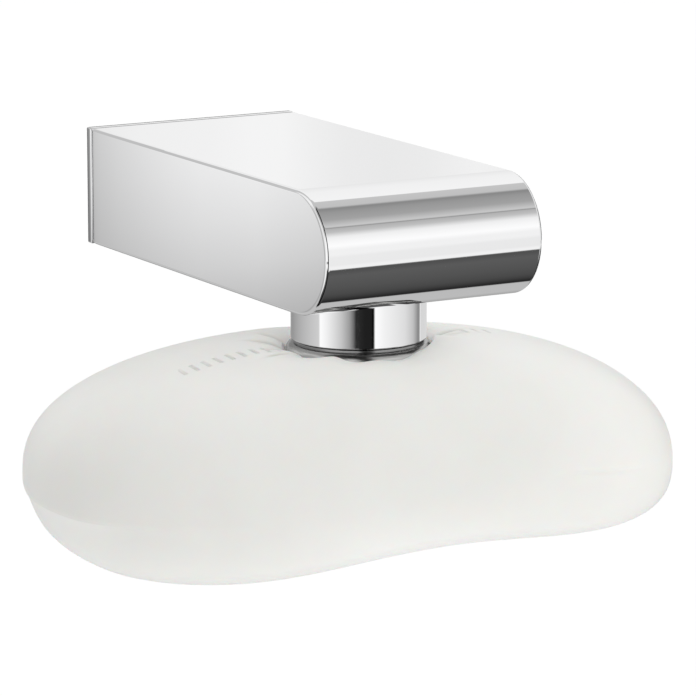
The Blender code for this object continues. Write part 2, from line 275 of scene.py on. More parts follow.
print("studio bands:", len(nose_bands), "round the nose,", len(cup_bands), "round the cup")

# %% [markdown]
# ## The wall as the flat faces see it
# The arm's flat top and sides mirror the wall close behind the plate, and there the studio's far
# shell would give one even grey. A glowing card stands in for that wall. Only mirror reflections
# see it. Its glow is painted light and shade: lightest a few centimetres beside the arm, darker low
# down, with a painted contact shadow right beside the plate, and above the arm's top it has levels
# of its own. Its foot is cut on a slope, so that the arm's sides see it to their lower edge and the cup
# doesn't.

# %% Wall card
card_behind = 1.0 * MM
card_low = -25.5 * MM
card_high = 24.6 * MM
card_half_width = 66 * MM
card_shelf = 9.8 * MM
card_middle = 221
foot_start = 18.75 * MM
foot_height = -9.7 * MM
foot_slope = -0.4175
beside_levels = [
    (0.0, 90), (19.3, 100), (19.9, 150), (20.5, 184), (21.5, 190), (25, 199), (30, 208.5), (35, 216),
    (40, 221.6), (50.6, 226.5), (62, 221), (90, 200),
]
low_levels = [(-26, 178), (-21, 192), (-16, 206), (-8, 221), (0, 232), (8, 240), (24, 244)]
above_levels = [
    (-90, 190), (-18.5, 190), (-17, 232), (-8, 237), (4, 238), (12, 241), (18, 241), (24, 236),
    (30, 232), (38, 230.5), (46, 232), (56, 238), (90, 225),
]

begin()
bpy.ops.mesh.primitive_plane_add(
    size=1.0, location=(0.0, card_behind, (card_low + card_high) / 2), rotation=(math.pi / 2, 0.0, 0.0))
card = bpy.context.active_object
card.name = "wall_card"
card.scale = (2 * card_half_width, card_high - card_low, 1.0)
bpy.ops.object.transform_apply(location=True, rotation=True, scale=True)
card.visible_camera = False
card.visible_diffuse = False
card.visible_transmission = False
card.visible_shadow = False
card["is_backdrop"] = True


# %% The card's paint
def levels_along(tree, value, levels):
    """A ramp read at a place in millimetres, from (place, screen level) pairs."""
    first, last = levels[0][0], levels[-1][0]
    share = between(tree, value, 0.0, 1.0, first * MM, last * MM)
    return ramp(tree, share, [((place - first) / (last - first), grey(level)) for place, level in levels])


card_paint = bpy.data.materials.new("wall_card_paint")
tree = blank(card_paint)
across, _, height = parts(tree, own_place(tree))
aside = maths(tree, "ABSOLUTE", across)
# Painted contact shadow: the levels fall right beside the plate's edge.
beside = levels_along(tree, aside, beside_levels)
low = levels_along(tree, height, low_levels)
middle_level = grey(card_middle)[0]
sides = blend(tree, 1.0, beside, low, "MULTIPLY")
above = levels_along(tree, across, above_levels)
is_above = maths(tree, "GREATER_THAN", height, card_shelf)
paint = blend(tree, is_above, sides, above)
strength = add_node(
    tree, "ShaderNodeMix", {0: is_above, 2: mirror_gain / middle_level, 3: mirror_gain}, data_type="FLOAT")
# The card glows with this painted light and shade; it is no lamp.
glow = add_node(tree, "ShaderNodeEmission", {"Color": paint, "Strength": strength.outputs[0]})
beyond = maths(tree, "MAXIMUM", maths(tree, "SUBTRACT", aside, foot_start), 0.0)
foot = maths(tree, "MULTIPLY_ADD", beyond, foot_slope, foot_height)
clear = add_node(tree, "ShaderNodeBsdfTransparent")
cut = add_node(
    tree, "ShaderNodeMixShader",
    {0: maths(tree, "GREATER_THAN", height, foot), 1: clear.outputs[0], 2: glow.outputs[0]})
add_node(tree, "ShaderNodeOutputMaterial", {"Surface": cut.outputs[0]})
card.data.materials.append(card_paint)
print("wall card", round(2 * card_half_width, 3), "m wide")

# %% [markdown]
# ## Floor and lamps
# The holder hangs a good way above a plain pale floor. The floor is matt paper on a faintly lit
# table, so the soap's underside is as light as its top, and a little lift for the camera makes it
# read as white. The table is lit strongest straight below. The floor still takes the object's shadow.
# Two square lamps aim at the soap, add to its gentle shading and stay out of the mirrors.

# %% Floor
floor_height = -0.26
floor_size = 12.0
floor_glow = 0.417
floor_slopes = (0.135, -0.034, 0.0)
floor_squares = (-0.74, -0.428, 0.0)
floor_lift = 0.12
paper_colour = (0.9, 0.9, 0.9, 1.0)
soap_middle = (0.0, -0.056, -0.034)

begin()
bpy.ops.mesh.primitive_plane_add(size=floor_size, location=(0.0, 0.0, floor_height))
floor = bpy.context.active_object
floor.name = "floor"
floor.visible_glossy = False
floor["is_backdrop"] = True

paper = bpy.data.materials.new("floor_paper")
tree = blank(paper)
path = add_node(tree, "ShaderNodeLightPath").outputs
matt = add_node(tree, "ShaderNodeBsdfDiffuse", {"Color": paper_colour})
spot = add_node(tree, "ShaderNodeNewGeometry").outputs["Position"]
away = vector_maths(tree, "NORMALIZE", vector_maths(tree, "SUBTRACT", spot, soap_middle)[0])[0]
table = maths(tree, "ADD", slanted(tree, away, floor_slopes, floor_squares), floor_glow)
table = maths(tree, "MAXIMUM", table, 0.0)
strength = maths(tree, "MULTIPLY_ADD", path["Is Camera Ray"], floor_lift, table)
lift = add_node(tree, "ShaderNodeEmission", {"Color": grey(255), "Strength": strength})
lit = add_node(tree, "ShaderNodeAddShader", {0: matt.outputs[0], 1: lift.outputs[0]})
clear = add_node(tree, "ShaderNodeBsdfTransparent")
below = add_node(tree, "ShaderNodeNewGeometry").outputs["Backfacing"]
sided = add_node(tree, "ShaderNodeMixShader", {0: below, 1: lit.outputs[0], 2: clear.outputs[0]})
add_node(tree, "ShaderNodeOutputMaterial", {"Surface": sided.outputs[0]})
floor.data.materials.append(paper)
print("floor at", floor_height, "m")

# %% Lamps as (name, place, side in metres, watts)
lamps = [
    ("key_lamp", (0.65, -0.65, 0.40), 0.8, 0.12),
    ("low_lamp", (0.10, -0.95, -0.12), 0.25, 0.4),
]

for name, place, size, power in lamps:
    aim = Vector(soap_middle) - Vector(place)
    begin()
    bpy.ops.object.light_add(type="AREA", location=place, rotation=aim.to_track_quat("-Z", "Y").to_euler())
    lamp = bpy.context.active_object
    lamp.name = name
    lamp.data.size = size
    lamp.data.energy = power
    lamp.visible_glossy = False
    print(name, power, "W")

# %% [markdown]
# ## Tools of the bench
# The pieces are modelled as by hand: a primitive is added where it belongs, then extruded, cut,
# bevelled and spun in edit mode. These helpers only choose faces and edges by their place, turn a
# profile on an axis, subtract one shape from another, and keep large mirror faces flat.

# %% Helpers for modelling
weld_distance = 0.001 * MM


def take(name):
    """Name the piece that was just added, and put its place and turn into its mesh."""
    piece = bpy.context.active_object
    piece.name = name
    piece.data.name = name
    bpy.ops.object.transform_apply(location=True, rotation=True, scale=True)
    return piece


def alone(piece):
    """Select one piece and make it the active one."""
    begin()
    piece.select_set(True)
    bpy.context.view_layer.objects.active = piece


def edit(piece):
    alone(piece)
    bpy.ops.object.mode_set(mode="EDIT")


def leave():
    bpy.ops.object.mode_set(mode="OBJECT")


def pick(kind, wanted):
    """In edit mode, select the edges or faces for which wanted(item) is true."""
    mesh = bpy.context.edit_object.data
    bpy.ops.mesh.select_mode(type=kind)
    bpy.ops.mesh.select_all(action="DESELECT")
    shape = bmesh.from_edit_mesh(mesh)
    for item in filter(wanted, shape.edges if kind == "EDGE" else shape.faces):
        item.select_set(True)
    shape.select_flush_mode()
    bmesh.update_edit_mesh(mesh)


def weld():
    """In edit mode, merge corners that coincide."""
    bpy.ops.mesh.select_all(action="SELECT")
    bpy.ops.mesh.remove_doubles(threshold=weld_distance)


def is_sharp(edge, angle=40.0):
    return len(edge.link_faces) == 2 and edge.calc_face_angle() > math.radians(angle)


def ease_edges(piece, width, segments, wanted=is_sharp):
    """Round the chosen edges, as tumbling and polishing do."""
    edit(piece)
    pick("EDGE", wanted)
    bpy.ops.mesh.bevel(offset=width, segments=segments, profile=0.5, affect="EDGES", clamp_overlap=True)
    leave()


def subtract(piece, cutter):
    """Cut a closed shape out of a piece, remove the cutter and merge corners that coincide."""
    alone(piece)
    boolean = piece.modifiers.new("cut", "BOOLEAN")
    boolean.operation = "DIFFERENCE"
    boolean.solver = "EXACT"
    boolean.object = cutter
    bpy.ops.object.modifier_apply(modifier="cut")
    bpy.data.objects.remove(cutter, do_unlink=True)
    edit(piece)
    weld()
    leave()


def true_flats(piece, angle=50.0):
    """Smooth shading whose normals follow the large faces, so that mirror flats stay flat."""
    alone(piece)
    bpy.ops.object.shade_smooth_by_angle(angle=math.radians(angle))
    weigh = piece.modifiers.new("flats", "WEIGHTED_NORMAL")
    weigh.weight = 100
    weigh.keep_sharp = True
    bpy.ops.object.modifier_apply(modifier="flats")


def lathe(name, profile, steps=160):
    """Spin a profile of (radius, height) once round the cup's upright axis."""
    begin()
    bpy.ops.mesh.primitive_plane_add(size=MM, location=(0.0, cup_place, 0.0))
    piece = take(name)
    edit(piece)
    bpy.ops.mesh.select_mode(type="VERT")
    bpy.ops.mesh.select_all(action="SELECT")
    bpy.ops.mesh.merge(type="CENTER")
    bpy.ops.transform.translate(value=(profile[0][0], 0.0, profile[0][1]))
    for (radius, height), (next_radius, next_height) in zip(profile, profile[1:]):
        bpy.ops.mesh.extrude_vertices_move(
            TRANSFORM_OT_translate={"value": (next_radius - radius, 0.0, next_height - height)})
    bpy.ops.mesh.select_all(action="SELECT")
    bpy.ops.mesh.spin(steps=steps, angle=math.tau, center=(0.0, cup_place, 0.0), axis=(0.0, 0.0, 1.0))
    weld()
    bpy.ops.mesh.normals_make_consistent(inside=False)
    leave()
    return piece


def rod(name, radius, bottom, top, place, sides=64):
    """An upright cylinder over a point of the arm's middle plane."""
    begin()
    bpy.ops.mesh.primitive_cylinder_add(
        vertices=sides, radius=radius, depth=top - bottom, location=(0.0, place, (bottom + top) / 2))
    return take(name)


def dress(piece, material, body, slot, *nodes, flats=True):
    """Give a finished piece its shading, its material and its body, and hide the solids that it replaces. The
    slot is not used.
    """
    if flats:
        true_flats(piece)
    piece.data.materials.clear()
    piece.data.materials.append(material)
    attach(piece, body)
    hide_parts(*nodes)
    print(piece.name, len(piece.data.polygons), "faces")


# %% [markdown]
# ## Polished chrome
# Chrome plating on polished brass is a mirror with a barely wavy skin. The mirror is a metallic
# shader with almost no roughness. A broad noise lifts the roughness by a hair, as wiped smears do,
# and a very shallow bump gives the plating its slight waviness.

# %% Helpers for finishes, and the chrome
def new_finish(name, colour, metallic, **constants):
    """A material with one Principled shader whose steady values sit on its own sockets."""
    material = bpy.data.materials.new(name)
    material.use_nodes = True
    shader = material.node_tree.nodes["Principled BSDF"]
    shader.inputs["Base Color"].default_value = (*colour, 1.0)
    shader.inputs["Metallic"].default_value = metallic
    for socket, value in constants.items():
        shader.inputs[socket.replace("_", " ")].default_value = value
    print("finish", name)
    return material, material.node_tree, shader


def noise(tree, scale, detail=2.0, stretch=(1.0, 1.0, 1.0), distortion=0.0):
    """Noise on the piece's own coordinates, with its scale in waves per metre."""
    placed = add_node(tree, "ShaderNodeMapping", {"Vector": own_place(tree), "Scale": stretch})
    texture = add_node(
        tree, "ShaderNodeTexNoise",
        {"Vector": placed.outputs[0], "Scale": scale, "Detail": detail, "Distortion": distortion})
    return texture.outputs["Fac"]


def roughen(tree, shader, pattern, low, high):
    """Let a noise pattern move the roughness between two values."""
    tree.links.new(between(tree, pattern, low, high), shader.inputs["Roughness"])


def bump(tree, shader, height, depth, under=None):
    """Tilt the surface by a height pattern whose full depth is given in metres."""
    inputs = {"Height": height, "Distance": depth, "Strength": 1.0}
    if under is not None:
        inputs["Normal"] = under
    node = add_node(tree, "ShaderNodeBump", inputs)
    tree.links.new(node.outputs[0], shader.inputs["Normal"])
    return node.outputs[0]


chrome, tree, shader = new_finish("polished_chrome", (0.93, 0.93, 0.935), 1.0)
smears = noise(tree, 140.0, 3.0, stretch=(1.0, 0.35, 1.0), distortion=0.6)
roughen(tree, shader, smears, 0.015, 0.045)
bump(tree, shader, noise(tree, 260.0, 1.0), 0.0006 * MM)

# %% [markdown]
# ## The arm
# The arm is a hollow bar with flat sides and a half-round nose, open towards the wall. A cylinder
# lies across the arm at the nose, its rear half is cut off with bisect, and the flat that this
# leaves is extruded back to the wall. A smaller bar of the same kind is the hollow. Real edges are
# never knife-sharp, and on chrome their roundness shows as the bright and dark lines round a form.

# %% Sizes of the arm, in metres
arm_width = 37.5 * MM
arm_radius = 9.5 * MM
arm_wall = 2.2 * MM
nose_place = -70.5 * MM
arm_rear = -1.8 * MM
edge_round = 0.6 * MM
cup_place = -56.5 * MM
lock_screw_place = -8.8 * MM
spigot_hole = 4.3 * MM
screw_hole = 2.3 * MM
hole_span = (-12 * MM, -5 * MM)
hole_round = 0.15 * MM
hollow_overrun = 2 * MM
nose_sides = 256


def make_bar(name, width, radius, rear):
    """A solid bar with a half-round nose, from the nose back to the rear."""
    begin()
    bpy.ops.mesh.primitive_cylinder_add(
        vertices=nose_sides, radius=radius, depth=width, location=(0.0, nose_place, 0.0),
        rotation=(0.0, math.pi / 2, 0.0))
    bar = take(name)
    edit(bar)
    bpy.ops.mesh.select_all(action="SELECT")
    bpy.ops.mesh.bisect(
        plane_co=(0.0, nose_place, 0.0), plane_no=(0.0, 1.0, 0.0), clear_outer=True, use_fill=True)
    pick("FACE", lambda face: face.normal.y > 0.99)
    bpy.ops.mesh.extrude_region_move(TRANSFORM_OT_translate={"value": (0.0, rear - nose_place, 0.0)})
    weld()
    bpy.ops.mesh.normals_make_consistent(inside=False)
    leave()
    return bar


# %% The arm's shell
arm = make_bar("arm_shell_polished", arm_width, arm_radius, arm_rear)
ease_edges(arm, edge_round, 6)
subtract(arm, make_bar("hollow", arm_width - 2 * arm_wall, arm_radius - arm_wall, arm_rear + hollow_overrun))
subtract(arm, rod("spigot_hole", spigot_hole, *hole_span, cup_place))
subtract(arm, rod("screw_hole", screw_hole, *hole_span, lock_screw_place))
ease_edges(
    arm, hole_round, 3,
    lambda edge: is_sharp(edge) and all(vert.co.z < -arm_radius + HAIR for vert in edge.verts))
arm.visible_diffuse = False
dress(arm, chrome, "holder", "chrome", "arm_shell")

# %% [markdown]
# ## The wall plate
# The plate is a thin sheet with the arm's own outline. It stays on the wall when the arm comes
# off, so a fine dark joint runs round between the two. A cube is resized to the sheet, its edges
# are eased, and the two holes for the wall screws go through it.

# %% The plate
plate_thickness = 1.5 * MM
hole_places = (-9.0 * MM, 9.0 * MM)
hole_radius = 2.25 * MM
plate_round = 0.25 * MM
rim_round = 0.1 * MM
inside_plate = 12 * MM

begin()
bpy.ops.mesh.primitive_cube_add(size=1.0, location=(0.0, -plate_thickness / 2, 0.0))
bpy.context.active_object.scale = (arm_width, plate_thickness, 2 * arm_radius)
plate = take("wall_plate_polished")
ease_edges(plate, plate_round, 4)
for place in hole_places:
    begin()
    bpy.ops.mesh.primitive_cylinder_add(
        vertices=64, radius=hole_radius, depth=4 * plate_thickness, location=(place, 0.0, 0.0),
        rotation=(math.pi / 2, 0.0, 0.0))
    subtract(plate, take("wall_screw_hole"))
ease_edges(
    plate, rim_round, 2,
    lambda edge: is_sharp(edge) and all(abs(vert.co.x) < inside_plate for vert in edge.verts))
dress(plate, chrome, "holder", "chrome", "wall_plate")

# %% [markdown]
# ## The cup under the nose
# The cup is turned on a lathe, and a spigot on its roof goes up into the arm. Its profile is drawn
# as a chain of points that is spun once round the upright axis, which is how a turned part is made.

# %% The cup
cup_top = -9.8 * MM
cup_rim = -17.1 * MM
cup_radius = 10.5 * MM
cup_bore = 9.5 * MM
roof_face = -11.3 * MM
screw_bore = 2.3 * MM
spigot_radius = 4.0 * MM
spigot_top = -7.6 * MM
turned_round = 0.2 * MM

cup = lathe("magnet_cup_polished", [
    (screw_bore, spigot_top), (spigot_radius, spigot_top), (spigot_radius, cup_top),
    (cup_radius, cup_top), (cup_radius, cup_rim), (cup_bore, cup_rim), (cup_bore, roof_face),
    (screw_bore, roof_face), (screw_bore, spigot_top)], steps=192)
ease_edges(cup, turned_round, 4)
dress(cup, chrome, "holder", "chrome", "magnet_holder")

# %% [markdown]
# ## Steel, nickel and resin
# The pot round the magnet and the screws are turned steel, which keeps fine rings from the tool:
# a wave texture on the distance from the axis gives them. The magnet is nickel plated, the ring
# between the two is black resin and the bracket is cast zinc, each with a grain of its own.

# %% Turned steel
turned_steel, tree, shader = new_finish("turned_steel", (0.62, 0.62, 0.61), 1.0)
from_axis = add_node(tree, "ShaderNodeMapping", {"Vector": own_place(tree), "Location": (0.0, -cup_place, 0.0)})
rings = add_node(
    tree, "ShaderNodeTexWave",
    {"Vector": from_axis.outputs[0], "Scale": 900.0, "Distortion": 0.6, "Detail": 2.0},
    wave_type="RINGS", rings_direction="Z")
roughen(tree, shader, noise(tree, 900.0, 4.0), 0.2, 0.36)
bump(tree, shader, rings.outputs["Fac"], 0.002 * MM)

# %% Nickel, resin and zinc
def make_grained(name, colour, metallic, rough, grain):
    """A finish with noise in its roughness (scale, detail, range) and its relief (scale, detail, mm)."""
    material, tree, shader = new_finish(name, colour, metallic)
    roughen(tree, shader, noise(tree, *rough[:2]), *rough[2:])
    bump(tree, shader, noise(tree, *grain[:2]), grain[2] * MM)
    return material


nickel = make_grained("nickel_plate", (0.72, 0.70, 0.66), 1.0, (700.0, 5.0, 0.12, 0.3), (3000.0, 3.0, 0.001))
resin = make_grained("black_resin", (0.03, 0.03, 0.03), 0.0, (1500.0, 4.0, 0.4, 0.6), (4000.0, 3.0, 0.004))
cast_zinc = make_grained("cast_zinc", (0.55, 0.56, 0.57), 1.0, (600.0, 5.0, 0.38, 0.6), (1600.0, 6.0, 0.02))

# %% The pot, the ring and the magnet
pot_radius = 9.2 * MM
pot_inner = 7.9 * MM
pot_top = -11.6 * MM
pot_roof = -12.9 * MM
ring_radius = 7.6 * MM
ring_inner = 6.9 * MM
magnet_top = -13.2 * MM
magnet_radius = 6.6 * MM
magnet_face = -17.2 * MM
stamped_round = 0.12 * MM
moulded_round = 0.08 * MM

pot = lathe("pole_pot_turned", [
    (0.0, pot_top), (pot_radius, pot_top), (pot_radius, cup_rim), (pot_inner, cup_rim),
    (pot_inner, pot_roof), (0.0, pot_roof)])
ease_edges(pot, stamped_round, 3)
dress(pot, turned_steel, "holder", "steel", "pole_cup")

ring = lathe("spacer_ring_moulded", [
    (ring_inner, magnet_top), (ring_radius, magnet_top), (ring_radius, cup_rim),
    (ring_inner, cup_rim), (ring_inner, magnet_top)])
ease_edges(ring, moulded_round, 2)
dress(ring, resin, "holder", "resin", "spacer_ring")

magnet = lathe("magnet_plated", [
    (0.0, magnet_top), (magnet_radius, magnet_top), (magnet_radius, magnet_face), (0.0, magnet_face)])
ease_edges(magnet, turned_round, 4)
dress(magnet, nickel, "magnet", "nickel", "magnet")

# %% [markdown]
# ## Fasteners
# The screw that locks the arm on its bracket is a headless socket screw, set just inside the arm's
# underside. The one that holds the cup has a head and a washer and sits inside the arm. Each socket
# is a six-sided cylinder that is cut out of the turned screw.

# %% The screws and the washer
lock_bottom = -9.2 * MM
lock_top = -5.2 * MM
head_bottom = -5.9 * MM
head_top = -3.5 * MM
washer_bottom = -7.0 * MM
washer_top = -6.2 * MM
washer_radius = 6 * MM
lock_radius = 2.0 * MM
lock_key = 2.0 * MM
lock_socket_depth = 1.6 * MM
lock_round = 0.3 * MM
below_lock = -10 * MM
screw_radius = 2.0 * MM
head_radius = 3.6 * MM
head_key = 2.5 * MM
head_socket_depth = 1.4 * MM
head_round = 0.15 * MM


def key_rod(name, key, bottom, top, place):
    """A six-sided rod with the width of a hex key across its flats."""
    return rod(name, key / math.sqrt(3.0), bottom, top, place, sides=6)


lock = rod("lock_screw_socketed", lock_radius, lock_bottom, lock_top, lock_screw_place, sides=72)
ease_edges(lock, lock_round, 3)
subtract(lock, key_rod("lock_socket", lock_key, below_lock, lock_bottom + lock_socket_depth, lock_screw_place))
dress(lock, turned_steel, "holder", "steel", "lock_screw")

washer = lathe("lock_washer_stamped", [
    (screw_bore, washer_top), (washer_radius, washer_top), (washer_radius, washer_bottom),
    (screw_bore, washer_bottom), (screw_bore, washer_top)], steps=96)
ease_edges(washer, stamped_round, 3)
dress(washer, turned_steel, "holder", "steel", "lock_washer")

screw = lathe("holder_screw_socketed", [
    (0.0, head_top), (head_radius, head_top), (head_radius, head_bottom), (screw_radius, head_bottom),
    (screw_radius, roof_face), (0.0, roof_face)], steps=96)
ease_edges(screw, head_round, 3)
subtract(screw, key_rod("holder_socket", head_key, head_top - head_socket_depth, 0.0, cup_place))
dress(screw, turned_steel, "holder", "steel", "holder_screw")

# %% The bracket keeps its solid and takes its finish
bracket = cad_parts["wall_bracket"]
for slot in bracket.material_slots:
    slot.material = cast_zinc
print("bracket finish:", cast_zinc.name)

# %% [markdown]
# ## The pressed steel cap
# The cap is sheet steel pressed like a bottle cap: a flat face for the magnet, a round shoulder and
# a skirt whose flutes grip the soap. The outer skin is turned first. The flutes are a cosine round
# the skirt that grows towards its end, and Solidify then gives the skin its sheet thickness. The
# face and the boss under the cup's rim get painted shade, for the dark gap under the cup.

# %% The cap
face_rings = (0.0, 3.0, 6.0, 8.0)
cap_face = -17.26 * MM
cap_end = -22.9 * MM
cap_radius = 11.3 * MM
boss_radius = 10.1 * MM
boss_round = 0.12 * MM
boss_foot = 0.04 * MM
shoulder_top = cap_face - 0.38 * MM
skirt_top = -18.9 * MM
cap_flare = 0.6 * MM
flute_depth = 0.3 * MM
flutes = 10
flute_turn = math.radians(23.4)
boss_steps = 4
shoulder_steps = 10
skirt_steps = 14
sheet_thickness = 0.6 * MM
# Painted shade on the face and the boss, over these heights, for the dark gap under the cup's rim.
face_shade_from = shoulder_top - 0.12 * MM
face_shade_to = shoulder_top + 0.02 * MM


def round_point(radius, angle, height=0.0):
    """A point at some distance from the cup's upright axis."""
    return Vector((radius * math.cos(angle), cup_place + radius * math.sin(angle), height))


def skirt_share(height):
    return max(0.0, (skirt_top - height) / (skirt_top - cap_end))


def skirt_radius(height, angle):
    """Outer radius of the skirt, which flares and takes its flutes from the shoulder down."""
    share = skirt_share(height)
    wave = math.cos(flutes * (angle - flute_turn))
    return cap_radius + cap_flare * share + flute_depth * share * wave


# %% The cap's skin and sheet
profile = [(radius * MM, cap_face) for radius in face_rings]
for step in range(boss_steps + 1):
    angle = math.pi / 2 * step / boss_steps
    profile.append((
        boss_radius - boss_round * (1 - math.sin(angle)),
        cap_face - boss_round * (1 - math.cos(angle))))
profile.append((boss_radius, shoulder_top + boss_foot))
for step in range(shoulder_steps + 1):
    angle = math.pi / 2 * step / shoulder_steps
    profile.append((
        boss_radius + (cap_radius - boss_radius) * math.sin(angle),
        skirt_top + (shoulder_top - skirt_top) * math.cos(angle)))
for step in range(1, skirt_steps + 1):
    profile.append((cap_radius, skirt_top + (cap_end - skirt_top) * step / skirt_steps))
cap = lathe("steel_cap_pressed", profile, steps=240)
for vertex in cap.data.vertices:
    place = vertex.co
    if skirt_share(place.z) > 0.0:
        angle = math.atan2(place.y - cup_place, place.x)
        vertex.co = round_point(skirt_radius(place.z, angle), angle, place.z)
alone(cap)
sheet = cap.modifiers.new("sheet", "SOLIDIFY")
sheet.thickness = sheet_thickness
sheet.offset = -1.0
bpy.ops.object.modifier_apply(modifier="sheet")

# %% The cap's steel
pressed_steel, tree, shader = new_finish("pressed_steel", (0.52, 0.52, 0.51), 1.0)
height = parts(tree, own_place(tree))[2]
# Painted shade: the face and the boss above the shoulder are darkened, as the gap under the cup is.
face_shade_share = between(tree, height, 0.0, 1.0, face_shade_from, face_shade_to)
painted_face_shade = ramp(tree, face_shade_share, [(0.0, (0.52, 0.52, 0.51, 1.0)), (1.0, (0.3, 0.3, 0.3, 1.0))])
tree.links.new(painted_face_shade, shader.inputs["Base Color"])
roughen(tree, shader, noise(tree, 500.0, 4.0, stretch=(1.0, 1.0, 6.0)), 0.18, 0.28)
bump(tree, shader, noise(tree, 1800.0, 3.0), 0.0015 * MM)

dress(cap, pressed_steel, "soap", "cap_steel", "steel_cap")

# %% [markdown]
# ## The soap's form
# The bar is a pebble: round in every direction, blunter than an egg, a little larger at one end and
# drawn in below. A formula gives its skin. A sphere primitive lends the faces, with its poles on the
# cap's axis, and every corner slides out along its own ray until it meets the skin. Near the cap the
# rings are closer together, because there the skin dips to the cap and follows its flutes. A place
# along the bar is a share of its half length, from -1 at the thick end to 1 at the slim one.

# %% Sizes of the bar and its skin
soap_half_lengths = (50.7 * MM, 50.3 * MM)
soap_width = 60.0 * MM
width_taper = 0.1
upper_thickness = 18.2 * MM
upper_taper = 0.026
lower_thickness = 18.7 * MM
end_tuck = 0.035
tuck_start = -0.7
tuck_run = 0.25
lower_taper = 0.125
end_lift = 1.2 * MM
end_droop = 2.9 * MM
end_twist = -1.24 * MM
saddle_rise = 3.65 * MM
saddle_place = 0.3
saddle_spread = 0.48
end_powers = (2.4, 2.62)
section_power = 2.3
soap_turn = math.radians(-19.0)
soap_offset = 1.3 * MM
soap_height = -34.4 * MM
reach_limits = (10 * MM, 60 * MM)
reach_halvings = 16
soap_to_world = (
    Matrix.Translation((
        -soap_offset * math.cos(soap_turn), cup_place - soap_offset * math.sin(soap_turn), soap_height))
    @ Matrix.Rotation(soap_turn, 4, "Z"))
world_to_soap = soap_to_world.inverted()
spin_back = world_to_soap.to_3x3()
cap_axis = world_to_soap @ Vector((0.0, cup_place, soap_height))


def ease(value):
    value = max(0.0, min(1.0, value))
    return value * value * (3.0 - 2.0 * value)


def share_along(x):
    """A place along the bar as a share of its half length."""
    return x / soap_half_lengths[x >= 0.0]


def sizes_at(along):
    """Half width, both half thicknesses, middle height and fullness of the bar at a share of its length."""
    power = end_powers[along >= 0.0]
    body = max(0.0, 1.0 - abs(along) ** power) ** (section_power / power)
    half_width = soap_width / 2 * (1.0 - width_taper * along)
    upper = upper_thickness * (1.0 - upper_taper * along)
    saddle = saddle_rise * math.exp(-((along - saddle_place) / saddle_spread) ** 2)
    lower = lower_thickness * (1.0 - lower_taper * along)
    lower *= 1.0 - end_tuck * ease((tuck_start - along) / tuck_run)
    middle = end_lift * along - end_droop * along ** 2 + end_twist * along ** 3
    return half_width, upper, lower - saddle, middle, body


def excess(x, y, z):
    """Below zero inside the bar, above zero outside, in the bar's own axes."""
    along = share_along(x)
    if abs(along) >= 1.0:
        return 1.0
    half_width, upper, lower, middle, body = sizes_at(along)
    rise = z - middle
    half_thickness = upper if rise > 0.0 else lower
    return abs(y / half_width) ** section_power + abs(rise / half_thickness) ** section_power - body


def reach(x, y, z):
    """How far the skin lies from the cap's axis point in a direction, by halving an interval."""
    near, far = reach_limits
    for _ in range(reach_halvings):
        middle = (near + far) / 2
        if excess(cap_axis.x + x * middle, cap_axis.y + y * middle, cap_axis.z + z * middle) < 0.0:
            near = middle
        else:
            far = middle
    return (near + far) / 2


def skin_height(flat):
    """Height of the bar's upper skin over a point of the plan."""
    own = world_to_soap @ flat
    half_width, upper, _, middle, body = sizes_at(share_along(own.x))
    rise = upper * max(0.0, body - abs(own.y / half_width) ** section_power) ** (1 / section_power)
    return soap_height + (middle + rise)


# %% [markdown]
# ## The line left by the two halves of the press
# A bar of soap is stamped between two dies, and they leave a line round its side. Here it is plain at
# the thick end, where the upper half stands a little proud of the lower one, and it fades towards
# the middle. At the slim end a short fine groove is all that is left of it.

# %% The press line
press_line_heights = (-5.6 * MM, 0.2 * MM)
press_overhang = 0.12 * MM
press_inset = 0.85 * MM
press_groove = 0.2 * MM
groove_width = 0.4 * MM
inset_reach = 1.8 * MM
inset_fade = 13 * MM
overhang_reach = 5 * MM
slim_groove_place = 0.69
slim_groove_length = 0.12
thick_groove_share = 0.5
thick_end_start = -0.2
thick_end_run = 0.5
climb_start = -0.45
# Height in millimetres, then where along the bar it starts and over what length it comes in.
thick_tip_lift = (0.6, -0.86, 0.14)
slim_tip_drop = (1.0, 0.55, 0.3)


def press_line(along):
    """The line's height: it climbs towards the slim end, lifts at one tip and sinks at the other."""
    low, high = press_line_heights
    height = low + (high - low) * ease(along - climb_start)
    lift, start, run = thick_tip_lift
    lift *= ease((start - along) / run)
    drop, start, run = slim_tip_drop
    drop *= ease((along - start) / run)
    return height + (lift - drop) * MM


def press_step(along, above):
    """How far the skin stands out from its formula near the press line, by height above the line."""
    thick_end = ease((thick_end_start - along) / thick_end_run)
    slim_end = math.exp(-((along - slim_groove_place) / slim_groove_length) ** 2)
    if above < 0.0:
        out = -press_inset * thick_end * (1.0 - math.exp(above / inset_reach)) * math.exp(above / inset_fade)
    else:
        out = press_overhang * thick_end * math.exp(-above / overhang_reach)
    groove = press_groove * (thick_groove_share * thick_end + slim_end)
    return out - groove * math.exp(-(above / groove_width) ** 2)
